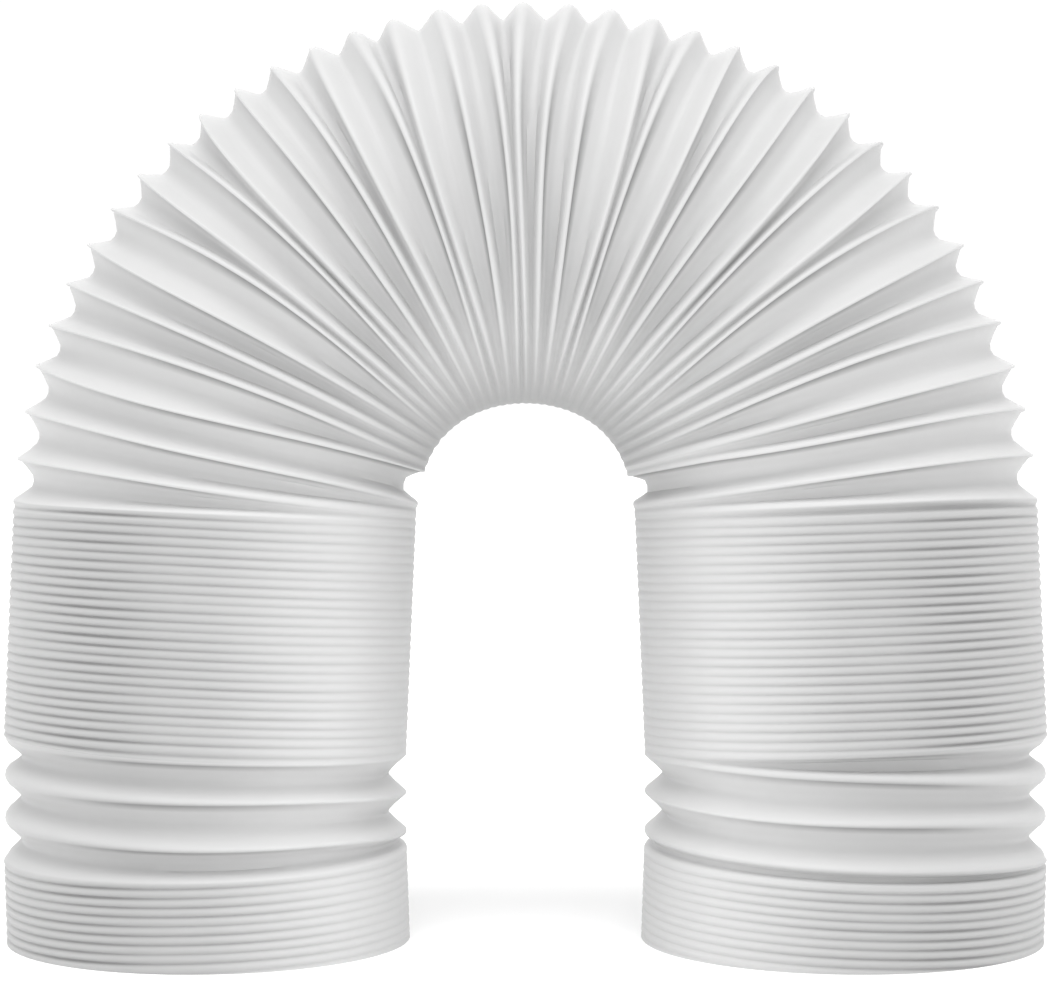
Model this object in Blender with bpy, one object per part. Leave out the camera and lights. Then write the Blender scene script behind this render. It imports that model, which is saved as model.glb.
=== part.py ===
"""Exhaust hose of a portable air conditioner, standing as an arch on its two open ends.

The hose is one moulded polypropylene tube. Its wall is folded along a single left-hand screw
thread, and each turn of that thread stays where it is put, shut or pulled open. The legs are
stacks of shut turns with three open ones near the foot. In the arch each turn is open on the
outside of the bend and shut on the inside.

Metres, +Z up. The arch stands across X and its front faces -Y. The origin is on the floor,
midway between the two ends and midway from front to back.
"""

from math import cos, hypot, pi, radians, sin

import bmesh
import bpy
from mathutils import Matrix, Vector

MM = 0.001

# Moulded section
CREST_DIAMETER = 150 * MM
FOLD_DEPTH = 6.8 * MM
WALL = 0.6 * MM
SIDES = 14

# One shut turn of the thread
SHUT_PITCH = 3.32 * MM

# The turns pulled open near the foot, from the end stack up
HINGE_OUTER_PITCH = 15.9 * MM
HINGE_INNER_PITCH = 9.2 * MM
PULLED_PITCH = 15.1 * MM
KNEE_OUTER_PITCH = 14.8 * MM

# The turns of the arch, and the one near its foot that is open all round
ARCH_OUTER_PITCH = 16.4 * MM
ARCH_INNER_PITCH = 3.4 * MM
WIDE_OUTER_PITCH = 17.8 * MM
WIDE_INNER_PITCH = 10.6 * MM

# Turns in each stretch of one half, from the rim up. The arch takes as many as its bend needs
RIM_TURNS = 9.75
HINGE_TURNS = 0.5
PULLED_TURNS = 2.0
KNEE_TURNS = 0.5
LEG_TURNS = 26.0
START_TURNS = 1.5
WIDE_TURNS = 1.0

# Stance. The end stack leans in by the first angle and the leg above it splays by the second
FOOT_TILT = radians(1.7)
LEG_SPLAY = radians(2.4)
LEAN_BACK = radians(2.4)

# The fold fades out over this height above the floor, which leaves a plain rim, trimmed level
PLAIN_RIM = 2.0 * MM

POLYPROPYLENE_WHITE = (0.80, 0.80, 0.80, 1.0)


class Stretch:
    """A run of like turns: how many, the pitch on the centre line, and the turning of each."""

    def __init__(self, turns, outer_pitch, inner_pitch, lean=0.0):
        self.turns = turns
        self.pitch = (outer_pitch + inner_pitch) / 2
        self.bend = (outer_pitch - inner_pitch) / CREST_DIAMETER
        self.lean = lean
        self.shut = outer_pitch == inner_pitch == SHUT_PITCH


class Station:
    """A cross-section of the hose: its centre, its own directions and the stretch it is in."""

    def __init__(self, centre, outward, front, part, turn):
        self.centre = centre
        self.outward = outward
        self.front = front
        self.part = part
        self.turn = turn

    def moved(self, shift):
        return Station(self.centre + shift, self.outward, self.front, self.part, self.turn)

    def mirrored(self):
        flip = Vector((-1, 1, 1))
        return Station(self.centre * flip, self.outward * flip, self.front * flip, self.part, self.turn)

    def point(self, side, radius):
        angle = 2 * pi * side / SIDES
        return self.centre + radius * (cos(angle) * self.outward + sin(angle) * self.front)

    def depth(self, side):
        """Crest to root, which fades out at the rim."""
        height = self.point(side, CREST_DIAMETER / 2).z
        return FOLD_DEPTH * min(max(height / PLAIN_RIM, 0.0), 1.0)

    def wall_along_radius(self, side):
        """The wall measured along the radius, which is longer where the fold is steep."""
        reach = CREST_DIAMETER / 2 * cos(2 * pi * side / SIDES)
        half_pitch = (self.part.pitch + reach * self.part.bend) / 2
        return WALL * hypot(half_pitch, self.depth(side)) / half_pitch


def half_route():
    """The stretches of one half, in order from the rim up to the crown."""
    lean = LEAN_BACK / (HINGE_TURNS + PULLED_TURNS + KNEE_TURNS)
    rim = Stretch(RIM_TURNS, SHUT_PITCH, SHUT_PITCH)
    hinge = Stretch(HINGE_TURNS, HINGE_OUTER_PITCH, HINGE_INNER_PITCH, lean)
    pulled = Stretch(PULLED_TURNS, PULLED_PITCH, PULLED_PITCH, lean)
    knee = Stretch(KNEE_TURNS, KNEE_OUTER_PITCH, SHUT_PITCH, lean)
    left_to_splay = FOOT_TILT + LEG_SPLAY - hinge.turns * hinge.bend - knee.turns * knee.bend
    pulled.bend = left_to_splay / pulled.turns
    leg = Stretch(LEG_TURNS, SHUT_PITCH, SHUT_PITCH)
    start = Stretch(START_TURNS, ARCH_OUTER_PITCH, ARCH_INNER_PITCH)
    wide = Stretch(WIDE_TURNS, WIDE_OUTER_PITCH, WIDE_INNER_PITCH)
    arch = Stretch(0, ARCH_OUTER_PITCH, ARCH_INNER_PITCH)
    left_to_turn = pi / 2 - LEG_SPLAY - start.turns * start.bend - wide.turns * wide.bend
    arch.turns = left_to_turn / arch.bend
    return [rim, hinge, pulled, knee, leg, start, wide, arch]


def stretch_at(route, turn):
    """The stretch that holds this turn, counted from the rim."""
    passed = 0.0
    for part in route:
        passed += part.turns
        if turn < passed:
            return part
    return route[-1]


def facing(heading, lean):
    """The directions of a cross-section: out of the arch, to the front and along the hose."""
    frame = Matrix.Rotation(-lean, 3, "X") @ Matrix.Rotation(heading, 3, "Y")
    return frame @ Vector((-1, 0, 0)), frame @ Vector((0, -1, 0)), frame @ Vector((0, 0, 1))


def half_stations():
    """Stations of the left half, SIDES to a turn, from some spare turns under the rim to the crown."""
    route = half_route()
    half_turns = sum(part.turns for part in route)
    spare_turns = 1 + CREST_DIAMETER / 2 * sin(FOOT_TILT) / SHUT_PITCH
    steps = round((half_turns + spare_turns) * SIDES)
    stations = []
    centre, heading, lean = Vector((0.0, 0.0, 0.0)), -FOOT_TILT, 0.0
    for step in range(steps + 1):
        turn = half_turns - (steps - step) / SIDES
        part = stretch_at(route, turn)
        outward, front, along = facing(heading, lean)
        stations.append(Station(centre.copy(), outward, front, part, turn))
        outward, front, along = facing(heading + part.bend / SIDES / 2, lean + part.lean / SIDES / 2)
        centre += along * part.pitch / SIDES
        heading += part.bend / SIDES
        lean += part.lean / SIDES
    rim_height = -stations[0].turn * SHUT_PITCH
    shift = Vector((-stations[-1].centre.x, 0.0, -rim_height))
    return [station.moved(shift) for station in stations]


def whole_route():
    """Stations from the left rim over the crown to the right rim."""
    left = half_stations()
    return left + [station.mirrored() for station in reversed(left[:-1])]


def thread_lines(bm, stations, inner):
    """The crest line and the root line of one face of the wall, as rows of vertices.

    Each runs along the thread, one side of the tube further at each station. Inside a shut
    stack the folds press together, so both lines keep to the bore.
    """
    crown = len(stations) // 2
    crest_line, root_line = [], []
    for number, station in enumerate(stations):
        crest_side = (crown - number) % SIDES
        root_side = (crest_side + SIDES // 2) % SIDES
        crest = CREST_DIAMETER / 2
        root = crest - station.depth(root_side)
        if inner:
            root -= station.wall_along_radius(root_side)
            crest = root if station.part.shut else crest - station.wall_along_radius(crest_side)
        crest_line.append(bm.verts.new(station.point(crest_side, crest)))
        root_line.append(bm.verts.new(station.point(root_side, root)))
    return crest_line, root_line


def lay_flanks(bm, crest_line, root_line):
    """The flanks of the fold, from each crest to the next root and on to the next crest."""
    half_turn = SIDES // 2
    for near, far in ((crest_line, root_line), (root_line, crest_line)):
        for i in range(len(near) - half_turn - 1):
            bm.faces.new((near[i], near[i + 1], far[i + 1 + half_turn], far[i + half_turn]))


def close_ends(bm, outer_lines, inner_lines):
    """Joins the two faces of the wall at both ends of the thread."""
    half_turn = SIDES // 2
    for part in (slice(0, half_turn + 1), slice(-half_turn - 1, None)):
        outer = [vertex for line in outer_lines for vertex in line[part]]
        inner = [vertex for line in inner_lines for vertex in line[part]]
        for i in range(len(outer)):
            bm.faces.new((outer[i - 1], outer[i], inner[i], inner[i - 1]))


def new_object(name, bm, collection):
    mesh = bpy.data.meshes.new(name)
    bm.to_mesh(mesh)
    bm.free()
    made = bpy.data.objects.new(name, mesh)
    collection.objects.link(made)
    return made


def folded_tube(collection):
    stations = whole_route()
    bm = bmesh.new()
    outer_lines = thread_lines(bm, stations, inner=False)
    inner_lines = thread_lines(bm, stations, inner=True)
    lay_flanks(bm, *outer_lines)
    lay_flanks(bm, *inner_lines)
    close_ends(bm, outer_lines, inner_lines)
    bmesh.ops.recalc_face_normals(bm, faces=bm.faces)
    depths = [vertex.co.y for vertex in bm.verts]
    middle = (min(depths) + max(depths)) / 2
    bmesh.ops.translate(bm, vec=(0, -middle, 0), verts=bm.verts)
    return new_object("exhaust_hose", bm, collection), stations


def trim_ends(hose, stations, collection):
    """Cuts both ends off level, on the floor."""
    width = 2 * (abs(stations[0].centre.x) + CREST_DIAMETER)
    height = 2 * abs(stations[0].centre.z) + CREST_DIAMETER
    bm = bmesh.new()
    bmesh.ops.create_cube(bm, size=1.0)
    bmesh.ops.scale(bm, vec=(width, 2 * CREST_DIAMETER, height), verts=bm.verts)
    bmesh.ops.translate(bm, vec=(0, 0, -height / 2), verts=bm.verts)
    cutter = new_object("floor_trim", bm, collection)
    cutter.hide_render = True
    cutter.display_type = "WIRE"
    cut = hose.modifiers.new("trim", "BOOLEAN")
    cut.operation = "DIFFERENCE"
    cut.solver = "EXACT"
    cut.object = cutter


def polypropylene():
    material = bpy.data.materials.new("white_polypropylene")
    material.use_nodes = True
    shader = material.node_tree.nodes["Principled BSDF"]
    shader.inputs["Base Color"].default_value = POLYPROPYLENE_WHITE
    shader.inputs["Roughness"].default_value = 0.45
    shader.inputs["Metallic"].default_value = 0.0
    return material


def new_collection(name):
    collection = bpy.data.collections.new(name)
    bpy.context.scene.collection.children.link(collection)
    return collection


def main():
    for old in list(bpy.data.objects):
        bpy.data.objects.remove(old, do_unlink=True)
    hose, stations = folded_tube(new_collection("air_conditioner_exhaust_hose"))
    trim_ends(hose, stations, new_collection("cutters"))
    hose.data.materials.append(polypropylene())


main()
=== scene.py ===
"""Looks of a portable air conditioner's exhaust hose, standing as an arch on its two open ends.

The hose is wound as one straight screw thread, as it is moulded. Then every turn is laid on the
arch's centre line and opened as far as the photograph shows it. Turns are counted from the crown,
positive down the left leg. The side of the hose is an angle: 0 is the outside of the bend, a
quarter turn is the front and half a turn is the inside of the bend. Metres, +Z up; the arch stands
across X and its front faces -Y.
"""

from math import pi, radians

import bpy
import numpy as np
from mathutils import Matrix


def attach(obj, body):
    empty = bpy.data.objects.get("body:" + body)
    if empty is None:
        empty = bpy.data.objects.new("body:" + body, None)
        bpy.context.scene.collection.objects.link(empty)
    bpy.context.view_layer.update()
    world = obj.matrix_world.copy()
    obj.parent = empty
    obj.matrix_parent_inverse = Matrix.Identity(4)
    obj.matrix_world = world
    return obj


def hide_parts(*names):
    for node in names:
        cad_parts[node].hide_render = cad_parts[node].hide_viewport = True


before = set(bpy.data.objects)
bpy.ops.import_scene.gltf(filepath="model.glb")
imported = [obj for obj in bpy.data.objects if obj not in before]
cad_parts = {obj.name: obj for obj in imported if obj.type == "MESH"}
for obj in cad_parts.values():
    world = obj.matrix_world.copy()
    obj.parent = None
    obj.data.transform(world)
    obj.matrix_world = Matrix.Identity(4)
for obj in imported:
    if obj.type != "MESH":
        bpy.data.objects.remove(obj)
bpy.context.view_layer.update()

MM = 0.001

# The moulded section, as the solid has it
CREST_RADIUS = 75 * MM
FOLD_DEPTH = 6.8 * MM
WALL = 0.6 * MM

# The turns as the solid has them: their pitch on the outside and the inside of the bend
SHUT_PITCH = 3.32 * MM
HINGE_PITCHES = (15.9 * MM, 9.2 * MM)
PULLED_PITCH = 15.1 * MM
KNEE_PITCHES = (14.8 * MM, SHUT_PITCH)
WIDE_PITCHES = (17.8 * MM, 10.6 * MM)
ARCH_PITCHES = (16.4 * MM, 3.4 * MM)

# Turns in each stretch of one half, from the rim up. The arch takes as many as its bend needs
RIM_TURNS = 9.75
HINGE_TURNS = 0.5
PULLED_TURNS = 2.0
KNEE_TURNS = 0.5
LEG_TURNS = 26.0
START_TURNS = 1.5
WIDE_TURNS = 1.0

# The thread is wound this far past each rim, and the floor's plane trims it
SPARE_TURNS = 3
PLAIN_RIM = 2.0 * MM

# Stance. The end stack leans in by the first angle and the leg above it splays by the second
FOOT_TILT = radians(1.7)
LEG_SPLAY = radians(2.4)
LEAN_BACK = radians(2.4)

# The crown is this much lower than its turns would put it, as if sagged under its own weight
CROWN_SAG = 2.8 * MM
SAG_TURNS = 15

# A turn pops either open or shut, so on the front of the arch they are uneven. This is the
# opening of each from the crown down, against their mean
TURN_OPENING = (0.42, 1.07, 1.47, 0.45, 1.40, 0.68, 1.20, 1.30,
                0.42, 1.32, 0.50, 1.51, 0.85, 0.91, 1.45)
FIRST_CREST_SHIFT = 0.2
CREST_UNEVENNESS = 0.05

# The inner side of the bend has slipped round the arch by so many turns. The slip grows from the
# crown to both ends over SLIP_SPAN, and fades at the foot of the arch by turn and share
EVEN_SLIP = 0.5
END_SLIP = 0.95
SLIP_SPAN = (-9.0, 9.0)
SLIP_LEFT = ((11.5, 1.0), (14.0, 0.5), (15.6, 0.5), (16.5, 0.0))

# Stretches where the form of the fold changes, in turns from the crown
CROWN_END = (3, 8)
BEND_END = (14, 16)
LEG_START = (17.6, 18.4)
FOOT_START = (41, 43)
HANGING_SPAN = (-2, 2)

# Half of a shut fold from its crest to its root: distance along the hose, and depth below the
# crest. It shows only the groove between two turns, which is deeper and sharper in the bend
SHUT_FOLD = ((0, 0), (0.40 * MM, 0.06 * MM), (0.80 * MM, 0.30 * MM), (1.12 * MM, 0.66 * MM),
             (1.42 * MM, 0.98 * MM), (1.66 * MM, 1.10 * MM))
BENT_FOLD = ((0, 0), (0.28 * MM, 0.10 * MM), (0.62 * MM, 0.60 * MM), (1.00 * MM, 1.20 * MM),
             (1.40 * MM, 1.75 * MM), (1.66 * MM, 1.90 * MM))

# An open fold has a bead along its crest, which hangs over the flank below it. On the outside of
# the crown and of the open turns at the foot it is stretched wide and flat, and their roots are
# sharper. The flank is a little hollow
UPPER_BEAD = ((0, 0), (0.40 * MM, 0.18 * MM), (1.10 * MM, 0.95 * MM))
UNDER_BEAD = ((0, 0), (0.50 * MM, 0.25 * MM), (0.50 * MM, 1.50 * MM))
CROWN_BEAD = ((0, 0.7 * MM), (1.30 * MM, 0.95 * MM), (2.80 * MM, 1.9 * MM))
FLANK_HOLLOW = 0.5
ROOT_START = 0.92
ROOT_HALF_WIDTH = 2.2 * MM
SHARP_ROOT_LOSS = 0.6

# A turn is fully open from the first pitch on, and no two crests come closer than the second
FULLY_OPEN_PITCH = 12.0 * MM
LEAST_PITCH = 0.8 * SHUT_PITCH

# The grooves of shut turns are shallower at both sides of the picture, nearly gone on the very
# inside of the bend, and shallower all over the inner half of a leg
SIDE_GROOVE_LOSS = 0.55
BENT_GROOVE_LOSS = 0.7
INNER_GROOVE_LOSS = 0.4
INNER_GROOVE_SPAN = (0.2, 0.45)
GROOVE_UNEVENNESS = 0.2

# Painted shade at the points of a fold, from the crest to the root, which darkens the grooves of
# shut folds. An open fold has a painted shadow under its bead, less so on the outside of the bend.
# The pinched inside of the bend is darkened all over with painted shade
SHUT_PAINTED_SHADE = (0.0, 0.0, 0.08, 0.32, 0.68, 0.8)
OPEN_PAINTED_SHADE = (0.0, 0.3, 1.0, 0.0, 0.0, 0.1)
OUTER_PAINTED_SHADE_LOSS = 0.9
OUTER_PAINTED_SHADE_SPAN = (0.1, 0.8)
PINCHED_PAINTED_SHADE = 0.7

# A grey laid over the legs, which stands for the light of the photograph: there they are darker at
# the front and lighter towards each other. It is given by how far round the hose a place is, from
# the outside at 0 to the inside at 1, and loses a share on the open turns
LEG_GREY = ((0.0, 0.30), (0.35, 0.50), (0.55, 0.43), (0.85, 0.08))
OPEN_LEG_GREY_LOSS = 0.5

# How fine the mesh is: points in one turn of the fold, steps round the hose, and steps of the
# centre line in a turn
OUTSIDE_POINTS = 10
OUTSIDE_STEPS = 72
INSIDE_POINTS = 4
INSIDE_STEPS = 36
ROUTE_STEPS = 64

# Neighbouring windings of the straight thread end on the same points, which are merged within
# this distance. It is well under the distance from one point of the fold to the next
MERGE = 0.02 * MM
TRIM_MERGE = 0.001 * MM

# Angles this near to a full turn lie on the seam, where the next winding starts
SEAM = 0.01

# Edges sharper than this stay sharp, such as the edge of a rim
SHARP_EDGE = radians(50)

# Sizes of the plastic's patterns: its milky clouds, and the crinkle with its depth
CLOUD_SIZE = 40 * MM
CRINKLE_SIZE = 7 * MM
CRINKLE_DEPTH = 0.25 * MM

# Soft studio lamps: name, elevation and azimuth from the front in degrees, strength, and the width
# of the lamp in degrees. The strip between the legs lights their inner sides
LAMPS = (
    ("key_light", 70, 0, 1.75, 40),
    ("left_fill", 25, -62, 0.15, 60),
    ("right_fill", 25, 62, 0.15, 60),
    ("back_fill", 8, 180, 0.5, 40),
)
STRIP_WIDTH = 0.10
STRIP_HEIGHT = 0.20
STRIP_POWER = 0.055
STRIP_PLACE = (0, -0.15, 0.10)
FLOOR_SIZE = 12.0
BACKGROUND = 1.04

# The photograph's camera, with its focal length in pixels of a picture 1051 wide
PICTURE_WIDTH = 1051
FOCAL_PIXELS = 3320.5
SENSOR_WIDTH = 36.0
CAMERA_DISTANCE = 1.240
CAMERA_HEIGHT = 0.2212
CAMERA_PITCH = radians(2.5)


def srgb(hex_colour):
    """A linear colour from an sRGB hex value."""
    channels = [int(hex_colour[i:i + 2], 16) / 255 for i in (1, 3, 5)]
    linear = [c / 12.92 if c <= 0.04045 else ((c + 0.055) / 1.055) ** 2.4 for c in channels]
    return (*linear, 1.0)


def add_node(tree, kind, settings=None, inputs=None):
    """Adds a node, sets its properties, and gives its inputs their values or links."""
    node = tree.nodes.new(kind)
    for name, value in (settings or {}).items():
        setattr(node, name, value)
    for name, value in (inputs or {}).items():
        if isinstance(value, bpy.types.NodeSocket):
            tree.links.new(value, node.inputs[name])
        else:
            node.inputs[name].default_value = value
    return node


def deselect_all():
    if bpy.context.object and bpy.context.object.mode != "OBJECT":
        bpy.ops.object.mode_set(mode="OBJECT")
    bpy.ops.object.select_all(action="DESELECT")


def smooth(value):
    """Eases a share from 0 to 1."""
    value = np.clip(value, 0, 1)
    return value * value * (3 - 2 * value)


def rising(value, span):
    """0 before the span, 1 after it, and eased in between."""
    return smooth((value - span[0]) / (span[1] - span[0]))


def unevenness(turn):
    """A slow wave along the thread, from -1 to 1, that never repeats."""
    return (np.sin(8.6 * turn + 0.5) + np.sin(17.0 * turn + 1.1) + np.sin(24.7 * turn + 2.7)) / 3


def stretches():
    """Each stretch of one half from the rim up: turns, mean pitch, and bend and lean per turn."""
    def mean(pitches):
        return (pitches[0] + pitches[1]) / 2

    def bend(pitches):
        return (pitches[0] - pitches[1]) / (2 * CREST_RADIUS)

    lean = LEAN_BACK / (HINGE_TURNS + PULLED_TURNS + KNEE_TURNS)
    to_splay = (FOOT_TILT + LEG_SPLAY
                - HINGE_TURNS * bend(HINGE_PITCHES) - KNEE_TURNS * bend(KNEE_PITCHES))
    to_crown = (pi / 2 - LEG_SPLAY
                - START_TURNS * bend(ARCH_PITCHES) - WIDE_TURNS * bend(WIDE_PITCHES))
    return [
        (RIM_TURNS, SHUT_PITCH, 0.0, 0.0),
        (HINGE_TURNS, mean(HINGE_PITCHES), bend(HINGE_PITCHES), lean),
        (PULLED_TURNS, PULLED_PITCH, to_splay / PULLED_TURNS, lean),
        (KNEE_TURNS, mean(KNEE_PITCHES), bend(KNEE_PITCHES), lean),
        (LEG_TURNS, SHUT_PITCH, 0.0, 0.0),
        (START_TURNS, mean(ARCH_PITCHES), bend(ARCH_PITCHES), 0.0),
        (WIDE_TURNS, mean(WIDE_PITCHES), bend(WIDE_PITCHES), 0.0),
        (to_crown / bend(ARCH_PITCHES), mean(ARCH_PITCHES), bend(ARCH_PITCHES), 0.0),
    ]


def turned(vector, heading, lean):
    """A direction turned by the heading about Y and then leant back about X, for many at once."""
    x = np.cos(heading) * vector[0] + np.sin(heading) * vector[2]
    z = -np.sin(heading) * vector[0] + np.cos(heading) * vector[2]
    y = np.full_like(x, vector[1])
    leant_y = np.cos(lean) * y + np.sin(lean) * z
    leant_z = -np.sin(lean) * y + np.cos(lean) * z
    return np.stack([x, leant_y, leant_z], axis=1)


class Route:
    """The hose's centre line, with the directions out of the arch and to its front."""

    def __init__(self):
        parts = stretches()
        self.half_turns = sum(part[0] for part in parts)
        steps = round((self.half_turns + SPARE_TURNS) * ROUTE_STEPS)
        turn = np.linspace(-SPARE_TURNS, self.half_turns, steps)
        step = turn[1] - turn[0]
        ends = np.cumsum([part[0] for part in parts])
        part_at = np.minimum(np.searchsorted(ends, turn[:-1] + step / 2), len(parts) - 1)
        pitch, bend, lean = (
            np.array([part[column] for part in parts])[part_at] for column in (1, 2, 3))
        heading = np.concatenate([[0.0], np.cumsum(bend * step)]) - FOOT_TILT
        back = np.concatenate([[0.0], np.cumsum(lean * step)])
        along = turned((0, 0, 1), (heading[1:] + heading[:-1]) / 2, (back[1:] + back[:-1]) / 2)
        centre = np.vstack([[0, 0, 0], np.cumsum(along * (pitch * step)[:, None], axis=0)])
        centre[:, 0] -= centre[-1, 0]
        centre[:, 2] -= SPARE_TURNS * SHUT_PITCH
        near_crown = np.clip(1 - (self.half_turns - turn) / SAG_TURNS, 0, 1)
        centre[:, 2] -= CROWN_SAG * (1 - np.cos(pi * near_crown)) / 2
        outward = turned((-1, 0, 0), heading, back)
        front = turned((0, -1, 0), heading, back)
        left = np.hstack([centre, outward, front])[::-1]
        right = left * np.array([-1, 1, 1] * 3)
        from_crown = self.half_turns - turn[::-1]
        self.turn = np.concatenate([-from_crown[:0:-1], from_crown])
        self.rows = np.vstack([right[:0:-1], left])

    def crest(self, turn, side):
        """The point on the crest radius at this turn and side, and the direction to it."""
        row = np.stack([np.interp(turn, self.turn, column) for column in self.rows.T], axis=1)
        spoke = np.cos(side)[:, None] * row[:, 3:6] + np.sin(side)[:, None] * row[:, 6:9]
        return row[:, 0:3] + CREST_RADIUS * spoke, spoke


def settled_turn(crest, side):
    """Where a crest of the thread comes to rest on the route at this side of the hose."""
    shift = FIRST_CREST_SHIFT + np.concatenate([[0.0], np.cumsum(np.array(TURN_OPENING) - 1)])
    label = np.arange(len(shift))
    labels = np.concatenate([[-len(shift)], -label[:0:-1], label, [len(shift)]])
    shifts = np.concatenate([[0.0], -shift[:0:-1], shift, [0.0]])
    turn = crest + side / (2 * pi)
    inner = (1 - np.cos(side)) / 2
    slip_left = np.interp(np.abs(turn), *zip(*SLIP_LEFT))
    odd_slip = END_SLIP * (2 * rising(turn, SLIP_SPAN) - 1)
    slip = (EVEN_SLIP * inner + odd_slip * inner ** 2) * slip_left
    popped = np.sin(side) ** 2 * np.interp(crest, labels, shifts)
    return turn - slip + popped + CREST_UNEVENNESS * unevenness(turn)


def shut_turn(near, turn, inner):
    """Half of a shut fold: places in the turn, depths below the crest and shares of painted shade.

    inner is 0 on the outside of the bend and 1 on its inside, and a high power of it keeps a change
    to the very inside.
    """
    bent = 1 - rising(np.abs(turn), BEND_END)
    place, below = (
        np.choose(near, [point[row] for point in SHUT_FOLD]) * (1 - bent)
        + np.choose(near, [point[row] for point in BENT_FOLD]) * bent for row in (0, 1))
    groove = 1 - SIDE_GROOVE_LOSS * (1 - 2 * inner) ** 2
    groove *= 1 + GROOVE_UNEVENNESS * unevenness(turn + 0.3)
    groove *= 1 - BENT_GROOVE_LOSS * bent * inner ** 16
    groove *= 1 - INNER_GROOVE_LOSS * (1 - bent) * rising(inner, INNER_GROOVE_SPAN)
    # Painted shade: a groove's points darken with its depth, and the pinched inside of the bend is
    # darkened all over
    painted_shade_share = np.choose(near, SHUT_PAINTED_SHADE) * groove ** 2 + PINCHED_PAINTED_SHADE * bent * inner ** 12
    return place / SHUT_PITCH, below * groove, painted_shade_share


def open_turn(near, upper, pitch, turn, inner):
    """Half of an open fold, in the same terms. upper is true on the flank that faces the crown."""
    hanging = rising(turn, HANGING_SPAN)
    hanging = np.where(upper, 1 - hanging, hanging)
    foot = rising(np.abs(turn), FOOT_START)
    hanging = hanging * (1 - foot * inner ** 2)
    crown = (1 - rising(np.abs(turn), CROWN_END)) * (1 - inner) ** 3
    flattened = np.maximum(crown, foot * (1 - inner) ** 2)
    sharp_root = np.maximum(crown, foot * (1 - 2 * inner) ** 2)

    def bead(point, row):
        value = UPPER_BEAD[point][row] * (1 - hanging) + UNDER_BEAD[point][row] * hanging
        return value * (1 - flattened) + CROWN_BEAD[point][row] * flattened

    edge, edge_below = bead(2, 0), bead(2, 1)
    flank = FOLD_DEPTH - edge_below
    root_half_width = ROOT_HALF_WIDTH * (1 - SHARP_ROOT_LOSS * sharp_root)
    root = pitch / 2 - np.minimum(root_half_width, pitch / 4)
    place = np.choose(near, [bead(0, 0), bead(1, 0), edge, (edge + root) / 2, root, pitch / 2])
    below = np.choose(near, [bead(0, 1), bead(1, 1), edge_below, edge_below + FLANK_HOLLOW * flank,
                             edge_below + ROOT_START * flank, FOLD_DEPTH])
    # Painted shadow under the bead, on the flank below the crest, with less of it on the outside of
    # the bend
    outer_loss = OUTER_PAINTED_SHADE_LOSS * rising(1 - 2 * inner, OUTER_PAINTED_SHADE_SPAN)
    return place / pitch, below, np.choose(near, OPEN_PAINTED_SHADE) * hanging * (1 - outer_loss)


def outside_fold(index, pitch, turn, side):
    """The fold's outside: places in the turn, depths below the crest and shares of painted shade.
    """
    open_share = rising(pitch, (SHUT_PITCH, FULLY_OPEN_PITCH))
    inner = (1 - np.cos(side)) / 2
    upper = index > OUTSIDE_POINTS // 2
    near = np.where(upper, OUTSIDE_POINTS - index, index)
    shut = shut_turn(near, turn, inner)
    opened = open_turn(near, upper, pitch, turn, inner)
    place, below, painted_shade_share = (shut[i] + (opened[i] - shut[i]) * open_share for i in range(3))
    # Painted light and shade over the legs, darker at the front and lighter towards each other
    leg_grey = np.interp(inner, *zip(*LEG_GREY)) * rising(np.abs(turn), LEG_START)
    painted_shade_share = np.clip(painted_shade_share + leg_grey * (1 - OPEN_LEG_GREY_LOSS * open_share), 0, 1)
    return np.where(upper, 1 - place, place), below, painted_shade_share


def inside_fold(index, pitch, turn, side):
    """The same for the inside, which is a plain bore where the turns are shut."""
    open_share = rising(pitch, (SHUT_PITCH, FULLY_OPEN_PITCH))
    root = FOLD_DEPTH + 2 * WALL
    crest = root + (3 * WALL - root) * open_share ** 2
    root_start = root - (1 - ROOT_START) * FOLD_DEPTH * open_share
    start = 0.5 - np.minimum(ROOT_HALF_WIDTH, pitch / 4) / pitch
    place = np.choose(index, [0, start, 0.5, 1 - start])
    below = np.choose(index, [crest, root_start, root, root_start])
    return place, below, np.zeros_like(pitch)


def wound_thread(name, points, steps, turns):
    """A straight tube wound from one turn of wall, one millimetre to a turn."""
    deselect_all()
    bpy.ops.mesh.primitive_plane_add(
        size=MM, location=(CREST_RADIUS, 0, 0), rotation=(pi / 2, 0, 0))
    tube = bpy.context.object
    tube.name = name
    bpy.ops.object.transform_apply(location=True, rotation=True, scale=True)
    bpy.context.tool_settings.mesh_select_mode = (True, False, False)
    wall = tube.data
    wall.vertices.foreach_set("select", [corner.co.x < CREST_RADIUS for corner in wall.vertices])
    wall.edges.foreach_set("select", [False] * len(wall.edges))
    wall.polygons.foreach_set("select", [False] * len(wall.polygons))
    bpy.ops.object.mode_set(mode="EDIT")
    bpy.ops.mesh.delete(type="VERT")
    bpy.ops.mesh.select_all(action="SELECT")
    bpy.ops.mesh.subdivide(number_cuts=points - 1)
    bpy.ops.transform.translate(value=(-MM / 2, 0, MM / 2 - turns / 2 * MM))
    bpy.ops.object.mode_set(mode="OBJECT")
    thread = tube.modifiers.new("thread", "SCREW")
    thread.steps = steps
    thread.render_steps = steps
    thread.iterations = turns
    thread.screw_offset = MM
    bpy.ops.object.modifier_apply(modifier="thread")
    bpy.ops.object.mode_set(mode="EDIT")
    bpy.ops.mesh.select_all(action="SELECT")
    bpy.ops.mesh.remove_doubles(threshold=MERGE)
    bpy.ops.object.mode_set(mode="OBJECT")
    return tube


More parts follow.
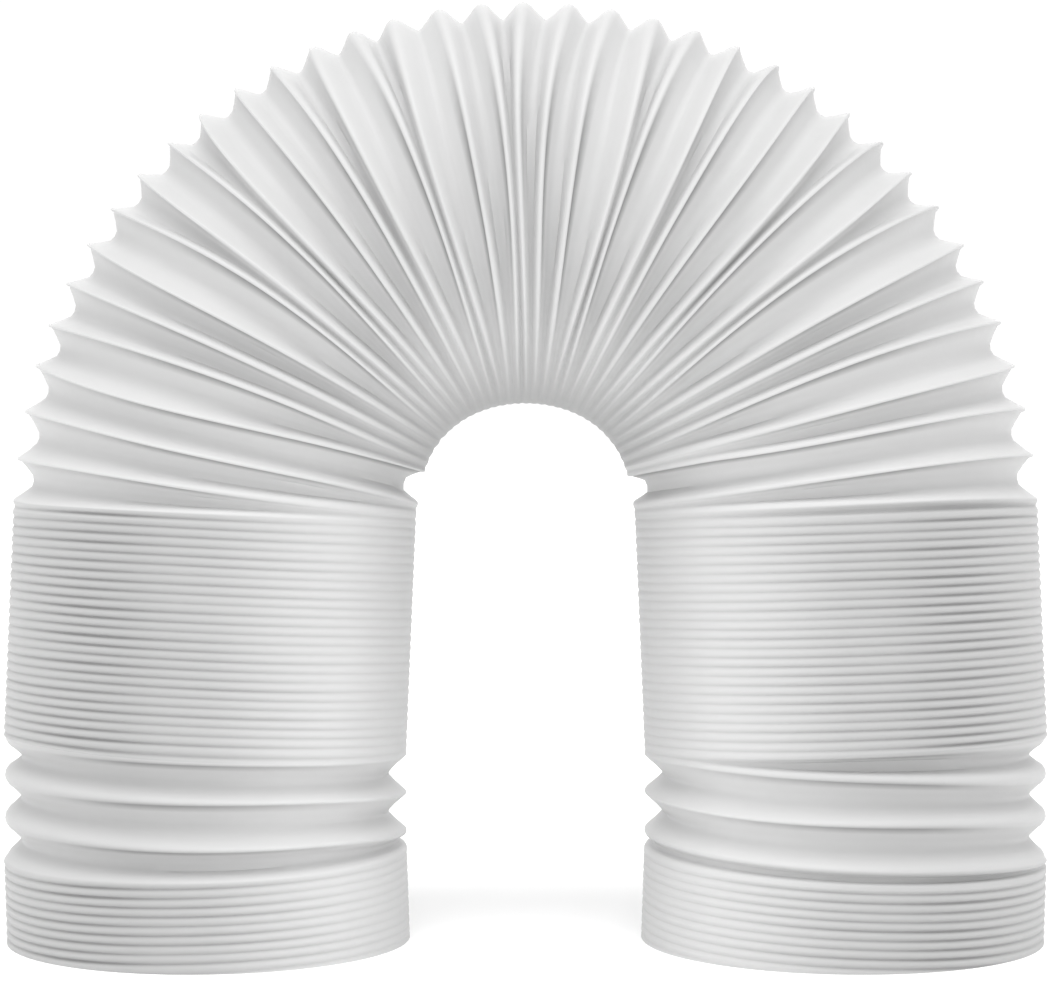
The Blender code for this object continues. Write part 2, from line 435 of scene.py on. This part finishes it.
def lay_on_route(tube, route, points, fold, plain_rim):
    """Folds the wall of the straight tube and carries it to its place on the arch."""
    mesh = tube.data
    straight = np.empty(len(mesh.vertices) * 3)
    mesh.vertices.foreach_get("co", straight)
    straight = straight.reshape(-1, 3)
    side = np.arctan2(straight[:, 1], straight[:, 0]) % (2 * pi)
    side[side > 2 * pi - SEAM] = 0.0
    step = np.rint((straight[:, 2] / MM - side / (2 * pi)) * points).astype(int)
    crest = np.floor_divide(step, points)
    near, near_spoke = route.crest(settled_turn(crest, side), side)
    far, far_spoke = route.crest(settled_turn(crest + 1.0, side), side)
    pitch = np.maximum(np.linalg.norm(far - near, axis=1), LEAST_PITCH)
    place, below, painted_shade_share = fold(step - crest * points, pitch, crest + side / (2 * pi), side)
    share = place[:, None]
    spoke = near_spoke * (1 - share) + far_spoke * share
    spoke /= np.linalg.norm(spoke, axis=1)[:, None]
    crest_line = near * (1 - share) + far * share
    if plain_rim:
        below = below * np.clip(crest_line[:, 2] / PLAIN_RIM, 0, 1)
    laid = crest_line - below[:, None] * spoke
    mesh.vertices.foreach_set("co", laid.ravel())
    # The painted shade of each point, which the material reads
    mesh.attributes.new("painted_shade", "FLOAT", "POINT").data.foreach_set("value", painted_shade_share)
    mesh.update()
    return laid


def select_open_edges(hose, left):
    """Selects the open edges at the foot of one leg."""
    mesh = hose.data
    uses = np.zeros(len(mesh.edges), dtype=int)
    loops = np.empty(len(mesh.loops), dtype=int)
    mesh.loops.foreach_get("edge_index", loops)
    np.add.at(uses, loops, 1)
    mesh.vertices.foreach_set("select", [False] * len(mesh.vertices))
    mesh.polygons.foreach_set("select", [False] * len(mesh.polygons))
    mesh.edges.foreach_set("select", [
        bool(uses[edge.index] == 1 and (mesh.vertices[edge.vertices[0]].co.x < 0) == left)
        for edge in mesh.edges])


def hose_piece():
    """The whole hose: the outside and the inside of the wall, closed at both rims."""
    route = Route()
    turns = 2 * int(route.half_turns + SPARE_TURNS - 1)
    outside = wound_thread("exhaust_hose_wall", OUTSIDE_POINTS, OUTSIDE_STEPS, turns)
    inside = wound_thread("exhaust_hose_bore", INSIDE_POINTS, INSIDE_STEPS, turns)
    laid = lay_on_route(outside, route, OUTSIDE_POINTS, outside_fold, plain_rim=True)
    lay_on_route(inside, route, INSIDE_POINTS, inside_fold, plain_rim=False)
    middle = (laid[:, 1].max() + laid[:, 1].min()) / 2
    deselect_all()
    inside.select_set(True)
    outside.select_set(True)
    bpy.context.view_layer.objects.active = outside
    bpy.ops.object.join()
    bpy.ops.object.mode_set(mode="EDIT")
    bpy.ops.mesh.select_mode(type="EDGE")
    bpy.ops.mesh.select_all(action="SELECT")
    bpy.ops.transform.translate(value=(0, -middle, 0))
    bpy.ops.mesh.bisect(
        plane_co=(0, 0, 0), plane_no=(0, 0, 1), clear_inner=True, threshold=TRIM_MERGE)
    for left in (True, False):
        bpy.ops.object.mode_set(mode="OBJECT")
        select_open_edges(outside, left)
        bpy.ops.object.mode_set(mode="EDIT")
        bpy.ops.mesh.bridge_edge_loops()
    bpy.ops.mesh.select_all(action="SELECT")
    bpy.ops.mesh.normals_make_consistent(inside=False)
    bpy.ops.object.mode_set(mode="OBJECT")
    bpy.ops.object.shade_smooth_by_angle(angle=SHARP_EDGE)
    return outside


def polypropylene():
    """White polypropylene, extruded as a film and folded while hot: satin, and a little milky.

    Its white is a light grey, so that it stands out from the white ground as in the photograph.
    Painted shade darkens its grooves and the flanks under its beads, the pinched inside of the bend
    and the legs. It has a faint crinkle from the folding, which breaks up its highlights.
    """
    material = bpy.data.materials.new("white_polypropylene")
    material.use_nodes = True
    tree = material.node_tree
    shader = tree.nodes["Principled BSDF"]
    place = add_node(tree, "ShaderNodeTexCoord")
    cloud = add_node(tree, "ShaderNodeTexNoise", inputs={
        "Vector": place.outputs["Object"], "Scale": 1 / CLOUD_SIZE, "Detail": 3.0})
    tint = add_node(tree, "ShaderNodeMix", {"data_type": "RGBA"}, {
        "Factor": cloud.outputs["Fac"], "A": srgb("#bdbdbd"), "B": srgb("#c2c2c2")})
    painted_shade = add_node(tree, "ShaderNodeAttribute", {"attribute_name": "painted_shade"})
    # Painted shade: the colour is mixed towards a dark grey in grooves, under beads, in the pinched
    # bend and over the legs
    painted_shade_colour = add_node(tree, "ShaderNodeMix", {"data_type": "RGBA"}, {
        "Factor": painted_shade.outputs["Fac"], "A": tint.outputs["Result"], "B": srgb("#868686")})
    tree.links.new(painted_shade_colour.outputs["Result"], shader.inputs["Base Color"])
    streaks = add_node(tree, "ShaderNodeTexNoise", inputs={
        "Vector": place.outputs["Object"], "Scale": 1 / CRINKLE_SIZE, "Detail": 2.0})
    satin = add_node(tree, "ShaderNodeMapRange", inputs={
        "Value": streaks.outputs["Fac"], "To Min": 0.44, "To Max": 0.56})
    tree.links.new(satin.outputs["Result"], shader.inputs["Roughness"])
    crinkle = add_node(tree, "ShaderNodeBump", inputs={
        "Height": streaks.outputs["Fac"], "Strength": 0.5, "Distance": CRINKLE_DEPTH})
    tree.links.new(crinkle.outputs["Normal"], shader.inputs["Normal"])
    shader.inputs["IOR"].default_value = 1.49
    shader.inputs["Specular IOR Level"].default_value = 0.25
    return material


def white_paper():
    """Matt white background paper, which gives no highlight and burns out to pure white."""
    material = bpy.data.materials.new("white_paper")
    material.use_nodes = True
    shader = material.node_tree.nodes["Principled BSDF"]
    shader.inputs["Base Color"].default_value = srgb("#fdfdfd")
    shader.inputs["Roughness"].default_value = 0.9
    return material


def add_lamp(lamp, place, rotation):
    holder = bpy.data.objects.new(lamp.name, lamp)
    holder.location = place
    holder.rotation_euler = rotation
    bpy.context.scene.collection.objects.link(holder)
    return holder


def studio():
    """A white paper floor, an even white surround, soft lamps and a strip between the legs."""
    deselect_all()
    bpy.ops.mesh.primitive_plane_add(size=FLOOR_SIZE, location=(0, 0, 0))
    floor = bpy.context.object
    floor.name = "studio_floor"
    floor.data.materials.append(white_paper())
    world = bpy.data.worlds.new("studio_light")
    world.use_nodes = True
    world.node_tree.nodes["Background"].inputs["Color"].default_value = (1, 1, 1, 1)
    world.node_tree.nodes["Background"].inputs["Strength"].default_value = BACKGROUND
    bpy.context.scene.world = world
    for name, elevation, azimuth, strength, softness in LAMPS:
        lamp = bpy.data.lights.new(name, "SUN")
        lamp.energy = strength
        lamp.angle = radians(softness)
        add_lamp(lamp, (0, 0, 0), (radians(90 - elevation), 0, radians(azimuth)))
    strip = bpy.data.lights.new("strip_light", "AREA")
    strip.shape = "RECTANGLE"
    strip.size = STRIP_WIDTH
    strip.size_y = STRIP_HEIGHT
    strip.energy = STRIP_POWER
    add_lamp(strip, STRIP_PLACE, (pi / 2, 0, 0)).visible_camera = False
    bpy.context.scene.view_settings.view_transform = "Standard"


def photo_camera():
    lens = bpy.data.cameras.new("photo_camera")
    lens.sensor_fit = "HORIZONTAL"
    lens.sensor_width = SENSOR_WIDTH
    lens.lens = FOCAL_PIXELS / PICTURE_WIDTH * SENSOR_WIDTH
    camera = bpy.data.objects.new("photo_camera", lens)
    camera.location = (0, -CAMERA_DISTANCE, CAMERA_HEIGHT)
    camera.rotation_euler = (pi / 2 - CAMERA_PITCH, 0, 0)
    bpy.context.scene.collection.objects.link(camera)
    bpy.context.scene.camera = camera


hose = hose_piece()
hose.data.materials.append(polypropylene())
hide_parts("exhaust_hose")
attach(hose, "root")
studio()
photo_camera()
